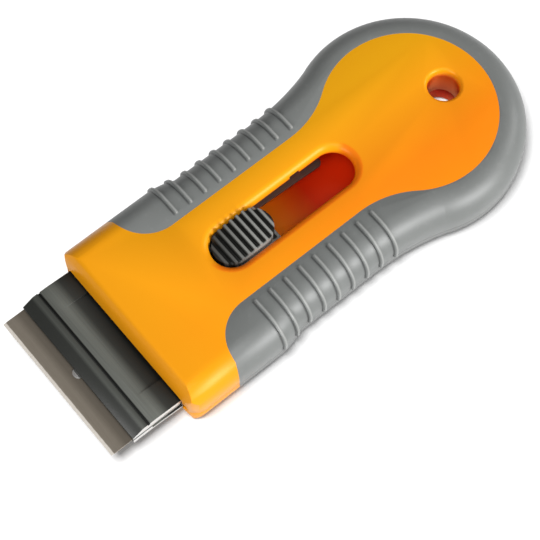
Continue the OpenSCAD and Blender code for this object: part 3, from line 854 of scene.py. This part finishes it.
@dataclass(frozen=True)
class PaleTable:
    """Plain white table that keeps the object's shadow."""

    name: str
    seen: Colour = (0.86, 0.86, 0.86)
    bounced: Colour = (0.30, 0.30, 0.30)
    lift: float = 0.15

    def material(self) -> bpy.types.Material:
        """Builds the material."""
        shader = Shader(self.name)
        paths = shader.add("ShaderNodeLightPath")
        kinds = ("Camera", "Glossy", "Transmission")
        camera, glossy, through = (Signal(shader.tree, paths.outputs[f"Is {kind} Ray"]) for kind in kinds)
        plain = camera.larger(glossy).larger(through)
        bounce = shader.add("ShaderNodeBsdfDiffuse", inputs={"Color": self.bounced})
        white = shader.add("ShaderNodeBsdfDiffuse", inputs={"Color": self.seen})
        glow = shader.add("ShaderNodeEmission", inputs={"Strength": self.lift})
        lifted = shader.add("ShaderNodeAddShader", inputs={0: white.outputs[0], 1: glow.outputs[0]})
        parts = {"Fac": plain, 1: bounce.outputs[0], 2: lifted.outputs[0]}
        choice = shader.add("ShaderNodeMixShader", inputs=parts)
        shader.put(shader.tree.nodes["Material Output"].inputs["Surface"], choice.outputs[0])
        return shader.material


# Modelling


def select_only(*objects: bpy.types.Object) -> None:
    """Selects these objects and nothing else, with the first one active."""
    bpy.ops.object.select_all(action="DESELECT")
    for thing in objects:
        thing.select_set(True)
    bpy.context.view_layer.objects.active = objects[0]


def apply_modifier(piece: bpy.types.Object, kind: str, **settings: Any) -> None:
    """Adds one modifier and applies it.

    Args:
        piece: The mesh object.
        kind: The modifier's type.
        settings: Its properties.
    """
    select_only(piece)
    modifier = piece.modifiers.new(kind.title(), kind)
    for key, value in settings.items():
        setattr(modifier, key, value)
    bpy.ops.object.modifier_apply(modifier=modifier.name)


def smoothed_copy(
    node: str,
    name: str,
    bevel_mm: float = 0.0,
    weld_mm: float = 0.002,
    bevel_deg: float = 35.0,
    steps: int = 2,
) -> bpy.types.Object:
    """Merges a copy of a CAD node's mesh into one skin and rounds its sharp edges.

    Args:
        node: The CAD node.
        name: Name of the new piece.
        bevel_mm: Width of the rounding, or 0 for none.
        weld_mm: How near points are merged.
        bevel_deg: Edges sharper than this are rounded.
        steps: Segments of the rounding.

    Returns:
        The new piece.
    """
    source = frame["nodes"][node]
    piece = bpy.data.objects.new(name, source.data.copy())
    bpy.context.scene.collection.objects.link(piece)
    piece.data.materials.clear()
    select_only(piece)
    bpy.ops.mesh.customdata_custom_splitnormals_clear()
    bpy.ops.object.mode_set(mode="EDIT")
    bpy.ops.mesh.select_all(action="SELECT")
    bpy.ops.mesh.remove_doubles(threshold=weld_mm * MM)
    bpy.ops.mesh.dissolve_limited(angle_limit=math.radians(FLAT_DEG))
    bpy.ops.object.mode_set(mode="OBJECT")
    if bevel_mm:
        apply_modifier(
            piece,
            "BEVEL",
            width=bevel_mm * MM,
            segments=steps,
            limit_method="ANGLE",
            angle_limit=math.radians(bevel_deg),
            harden_normals=False,
        )
    select_only(piece)
    bpy.ops.object.shade_smooth_by_angle(angle=math.radians(SMOOTH_DEG))
    return piece


def place(
    piece: bpy.types.Object, material: bpy.types.Material, slot: Slot, body: Body, nodes: Iterable[str]
) -> None:
    """Dresses a finished piece and hangs it on its body.

    Args:
        piece: The piece.
        material: Its material.
        slot: The record's slot that it stands for; not used.
        body: The body that it rides on.
        nodes: The CAD nodes that it replaces.
    """
    piece.data.materials.clear()
    piece.data.materials.append(material)
    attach(piece, body.value)
    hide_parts(*nodes)
    LOG.info("%s: %d faces on %s", piece.name, len(piece.data.polygons), body.value)


def dress_node(node: str, material: bpy.types.Material) -> None:
    """Gives a CAD node that stays its finish.

    Args:
        node: The CAD node.
        material: Its material.
    """
    mesh = frame["nodes"][node].data
    mesh.materials.clear()
    mesh.materials.append(material)
    LOG.info("%s keeps its CAD shape", node)


@dataclass(frozen=True)
class RibRow:
    """Round ribs laid along the moulded ribs of the grip.

    Each follows the top at the places of top_x_mm, then turns round turn_mm, a point (x, z) inside the grip,
    and ends down the side at the heights of side_z_mm.
    """

    places: RibPlaces = RibPlaces()
    top_x_mm: tuple[float, ...] = (13.8, 15.0, 16.0, 17.0)
    turn_mm: Span = (17.0, 7.0)
    turn_deg: float = 5.0
    turn_steps: int = 17
    side_z_mm: tuple[float, ...] = (7.0, 6.2, 5.6, 5.1)
    outside_mm: float = 30.0
    sunk_mm: float = 0.46
    radius_mm: float = 0.53
    round_steps: int = 4
    end_shares: tuple[float, ...] = (1.0, 0.93, 0.75, 0.45)
    tip: float = 0.02

    def build(self, node: str) -> bpy.types.Object:
        """Lays all the ribs on a CAD node's surface.

        Args:
            node: The grip's CAD node.

        Returns:
            One mesh with all the ribs.
        """
        shape = BVHTree.FromObject(frame["nodes"][node], bpy.context.evaluated_depsgraph_get())
        data = bpy.data.curves.new("ribs", "CURVE")
        data.dimensions = "3D"
        data.bevel_depth = self.radius_mm * MM
        data.bevel_resolution = self.round_steps
        data.use_fill_caps = True
        for y_mm in self.places.all_y_mm():
            for side in (-1.0, 1.0):
                self.draw(data, self.path(shape, y_mm, side))
        ribs = bpy.data.objects.new("ribs", data)
        bpy.context.scene.collection.objects.link(ribs)
        select_only(ribs)
        bpy.ops.object.convert(target="MESH")
        return bpy.context.view_layer.objects.active

    def path(self, shape: BVHTree, y_mm: float, side: float) -> list[Vector]:
        """Follows one rib's crest from its inner end over the edge and down the side.

        Args:
            shape: The grip's surface.
            y_mm: Place of the rib along the handle.
            side: 1 for the right side, -1 for the left.

        Returns:
            Points along the rib's middle, in metres.
        """
        far = self.outside_mm
        rays = [((side * x, y_mm, far), (0.0, 0.0, -1.0)) for x in self.top_x_mm]
        for step in range(1, self.turn_steps + 1):
            turn = math.radians(90.0 - self.turn_deg * step)
            away = Vector((side * math.cos(turn), 0.0, math.sin(turn)))
            middle = Vector((side * self.turn_mm[0], y_mm, self.turn_mm[1]))
            rays.append((middle + away * far, -away))
        rays += [((side * far, y_mm, z), (-side, 0.0, 0.0)) for z in self.side_z_mm]
        crest = []
        for start, way in rays:
            hit = shape.ray_cast(Vector(start) * MM, Vector(way))[0]
            if hit is not None:
                crest.append(hit)
        points = []
        for index, spot in enumerate(crest):
            along = crest[min(index + 1, len(crest) - 1)] - crest[max(index - 1, 0)]
            outward = along.normalized().cross(Vector((0.0, side, 0.0)))
            points.append(spot - outward * self.sunk_mm * MM)
        return points

    def draw(self, data: bpy.types.Curve, points: Sequence[Vector]) -> None:
        """Adds one rod with round ends.

        Args:
            data: The curve that it joins.
            points: Its middle line.
        """
        first = (points[0] - points[1]).normalized() * self.radius_mm * MM
        last = (points[-1] - points[-2]).normalized() * self.radius_mm * MM
        ends = [(share, math.sqrt(1.0 - share * share) + self.tip) for share in self.end_shares]
        rows = [(points[0] + first * share, radius) for share, radius in ends]
        rows += [(spot, 1.0) for spot in points]
        rows += [(points[-1] + last * share, radius) for share, radius in reversed(ends)]
        spline = data.splines.new("POLY")
        spline.points.add(len(rows) - 1)
        for target, (spot, radius) in zip(spline.points, rows):
            target.co = (*spot, 1.0)
            target.radius = radius


# Sub-assemblies


@dataclass
class Handle:
    """Both halves of the handle with their soft grips and the screws."""

    shell_bevel_mm: float = 0.15
    grip_bevel_mm: float = 0.12
    rib_smooth_deg: float = 40.0
    ribs: RibRow = RibRow()
    orange: MouldedPlastic = MouldedPlastic(
        "orange_plastic",
        (0.87, 0.335, 0.005),
        (0.86, 0.210, 0.004),
        0.32,
        specular=0.4,
        tint=(1.0, 0.82, 0.45),
        # Painted shade inside the slot, the hole and on the slot's rim
        recess=Recess(near=(0.99, 0.27, 0.003), far=(0.98, 0.033, 0.002), rim=(0.90, 0.165, 0.003)),
        # Painted light and shade along the handle
        fade=PaintedLightFade(painted_light_yellow=(0.93, 0.430, 0.006), along_y_mm=(-40.0, 10.0), across_x_mm=(-14.0, 10.0)),
    )
    grey: SoftGrip = SoftGrip("grey_grip", (0.168, 0.176, 0.170), (0.148, 0.156, 0.150), 0.40)
    zinc: BrushedMetal = BrushedMetal("plated_steel", (0.62, 0.61, 0.58), (0.42, 0.41, 0.39), 0.3)

    def build(self) -> None:
        """Builds and dresses all its pieces."""
        orange = self.orange.material()
        grey = self.grey.material()
        for side in ("front", "back"):
            shell = smoothed_copy(f"{side}_shell", f"{side}_shell_skin", bevel_mm=self.shell_bevel_mm)
            place(shell, orange, Slot.ORANGE, Body.HANDLE, [f"{side}_shell"])
            grip = smoothed_copy(f"{side}_grip", f"{side}_grip_skin", bevel_mm=self.grip_bevel_mm)
            if side == "front":
                ribs = self.ribs.build("front_grip")
                select_only(grip, ribs)
                bpy.ops.object.join()
                bpy.ops.object.shade_smooth_by_angle(angle=math.radians(self.rib_smooth_deg))
            place(grip, grey, Slot.GRIP, Body.HANDLE, [f"{side}_grip"])
        dress_node("shell_screws", self.zinc.material())


@dataclass
class Carriage:
    """Blade holder, slide plate, slide block, springs and rivets."""

    holder_bevel_mm: float = 0.12
    spring_bevel_mm: float = 0.08
    coil_keep: float = 0.68
    plated: BrushedMetal = BrushedMetal("slide_steel", (0.60, 0.59, 0.56), (0.42, 0.41, 0.38), 0.32)
    spring: BrushedMetal = BrushedMetal(
        "spring_steel",
        (0.17, 0.12, 0.095),
        (0.09, 0.062, 0.048),
        0.26,
        lines=Grain(0.12, 4.0, 0.6, (1.0, 0.04, 1.0)),
        metallic=0.5,
    )
    dark: MouldedPlastic = MouldedPlastic("block_plastic", (0.012, 0.012, 0.011), (0.008, 0.008, 0.007), 0.5)

    def build(self) -> None:
        """Builds and dresses all its pieces."""
        holder = smoothed_copy("blade_holder", "holder_extrusion", bevel_mm=self.holder_bevel_mm)
        low, high = box_mm("blade_holder")
        finish = AnodisedExtrusion("black_aluminium", half_width_mm=high.x, lip_y_mm=low.y)
        place(holder, finish.material(), Slot.ALUMINIUM, Body.CARRIAGE, ["blade_holder"])
        plated = self.plated.material()
        for node in ("slide_plate", "holder_rivets", "block_rivets"):
            dress_node(node, plated)
        coil = smoothed_copy("button_spring", "coil_spring")
        place(coil, plated, Slot.PLATED, Body.CARRIAGE, ["button_spring"])
        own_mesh(coil)
        leaf = smoothed_copy("detent_spring", "leaf_spring", bevel_mm=self.spring_bevel_mm)
        place(leaf, self.spring.material(), Slot.SPRING, Body.CARRIAGE, ["detent_spring"])
        dress_node("slide_block", self.dark.material())


@dataclass
class Button:
    """Thumb button and its lock bar."""

    bevel_mm: float = 0.15
    dark: MouldedPlastic = MouldedPlastic(
        "button_plastic",
        (0.012, 0.012, 0.010),
        (0.009, 0.009, 0.008),
        0.38,
        grain=Grain(0.12),
        specular=0.3,
        # Painted highlight on the ridge crests and right side, painted shade on the front crests
        crests=CrestHighlight(
            colour=(0.26, 0.262, 0.245),
            middle_y_mm=middle_mm("thumb_button").y,
            pitch_mm=1.66,
            front_shade_y_mm=(-17.0, -11.5),
            least_highlight=0.25,
            side_x_mm=(4.0, 4.3),
        ),
    )
    zinc: BrushedMetal = BrushedMetal("lock_bar_steel", (0.60, 0.59, 0.56), (0.42, 0.41, 0.38), 0.32)

    def build(self) -> None:
        """Builds and dresses all its pieces."""
        button = smoothed_copy("thumb_button", "thumb_button_cap", bevel_mm=self.bevel_mm)
        place(button, self.dark.material(), Slot.DARK, Body.BUTTON, ["thumb_button"])
        dress_node("lock_bar", self.zinc.material())


@dataclass
class Blade:
    """Single-edge blade with its folded spine."""

    ground_mm: float = 0.7
    spine_bevel_mm: float = 0.15
    spine: BrushedMetal = BrushedMetal("spine_steel", (0.40, 0.38, 0.35), (0.27, 0.25, 0.23), 0.34)

    def build(self) -> None:
        """Builds and dresses all its pieces."""
        edge = box_mm("blade")[0]
        dress_node("blade", GroundBlade("blade_steel", edge_y_mm=edge.y, bevel_mm=self.ground_mm).material())
        spine = smoothed_copy("blade_spine", "blade_back", bevel_mm=self.spine_bevel_mm)
        place(spine, self.spine.material(), Slot.SPINE, Body.BLADE, ["blade_spine"])


# Table, light and camera


class Reach(Enum):
    """What a lamp lights."""

    OBJECT = "object"
    TABLE = "table"


@dataclass(frozen=True)
class Lamp:
    """A soft square lamp: its place and aim in metres, side, power, and what it lights."""

    name: str
    spot_m: Point
    aim_m: Point
    size_m: float
    power_w: float
    reach: Reach


@dataclass
class Studio:
    """Pale table, soft lamps and the camera at the photograph's angle."""

    camera_mm: Point = (120.0, -104.1, 341.4)
    target_mm: Point = (5.5986, -8.9495, 0.0)
    lens_mm: float = 111.97
    sensor_mm: float = 36.0
    clip_m: Span = (0.01, 20.0)
    table_m: float = 6.0
    table_z_mm: float = -0.05
    world_level: float = 0.11
    lamps: tuple[Lamp, ...] = (
        Lamp("key", (1.60, 0.45, 0.83), (0.0, 0.0, 0.006), 0.95, 38.5, Reach.OBJECT),
        Lamp("back_light", (0.33, 1.04, 0.60), (0.0, 0.0, 0.0), 0.40, 3.4, Reach.OBJECT),
        Lamp("front_fill", (0.20, -1.15, 0.62), (0.0, 0.0, 0.0), 0.60, 8.0, Reach.OBJECT),
        Lamp("camera_fill", (0.31, -0.26, 0.92), (0.0, 0.0, 0.0), 0.30, 1.9, Reach.OBJECT),
        Lamp("sky_card", (-0.34, 0.28, 1.00), (0.0, 0.0, 0.0), 0.70, 0.36, Reach.OBJECT),
        Lamp("edge_card", (-0.34, -0.26, 1.00), (0.0, -0.05, 0.0), 0.30, 0.12, Reach.OBJECT),
        Lamp("table_lamp", (0.00, -0.26, 1.06), (0.0, 0.0, 0.0), 0.42, 13.5, Reach.TABLE),
    )

    def build(self) -> None:
        """Builds the table, the lamps and the camera."""
        self.table()
        self.world()
        for lamp in self.lamps:
            self.hang(lamp)
        self.camera()

    def table(self) -> None:
        """Lays the table under the object."""
        bpy.ops.object.select_all(action="DESELECT")
        bpy.ops.mesh.primitive_plane_add(size=self.table_m, location=(0, 0, self.table_z_mm * MM))
        table = bpy.context.active_object
        table.name = "table"
        table.data.materials.append(PaleTable("pale_table").material())

    def world(self) -> None:
        """Sets an even white surround."""
        world = bpy.data.worlds.new("surround")
        bpy.context.scene.world = world
        world.use_nodes = True
        background = world.node_tree.nodes["Background"]
        background.inputs["Color"].default_value = (1.0, 1.0, 1.0, 1.0)
        background.inputs["Strength"].default_value = self.world_level

    def hang(self, lamp: Lamp) -> None:
        """Hangs a soft square lamp.

        Args:
            lamp: The lamp.
        """
        data = bpy.data.lights.new(lamp.name, "AREA")
        data.shape = "SQUARE"
        data.size = lamp.size_m
        data.energy = lamp.power_w
        piece = bpy.data.objects.new(lamp.name, data)
        bpy.context.scene.collection.objects.link(piece)
        piece.location = lamp.spot_m
        piece.rotation_euler = (Vector(lamp.aim_m) - Vector(lamp.spot_m)).to_track_quat("-Z", "Y").to_euler()
        lit = bpy.data.collections.new(f"lit_by_{lamp.name}")
        for thing in bpy.context.scene.objects:
            on_table = thing.name == "table"
            if thing.type == "MESH" and on_table == (lamp.reach is Reach.TABLE):
                lit.objects.link(thing)
        piece.light_linking.receiver_collection = lit

    def camera(self) -> None:
        """Stands the camera where the photograph was taken from."""
        data = bpy.data.cameras.new("camera")
        data.lens = self.lens_mm
        data.sensor_width = self.sensor_mm
        data.clip_start, data.clip_end = self.clip_m
        camera = bpy.data.objects.new("camera", data)
        bpy.context.scene.collection.objects.link(camera)
        spot = Vector(self.camera_mm) * MM
        camera.location = spot
        camera.rotation_euler = (Vector(self.target_mm) * MM - spot).to_track_quat("-Z", "Y").to_euler()
        bpy.context.scene.camera = camera
        bpy.context.scene.view_settings.view_transform = "Standard"


def main() -> None:
    """Builds the whole scene in order."""
    logging.basicConfig(level=logging.INFO, format="%(name)s: %(message)s")
    for part in (Handle(), Carriage(), Button(), Blade(), Studio()):
        LOG.info("building %s", type(part).__name__)
        part.build()


if __name__ == "__main__":
    main()
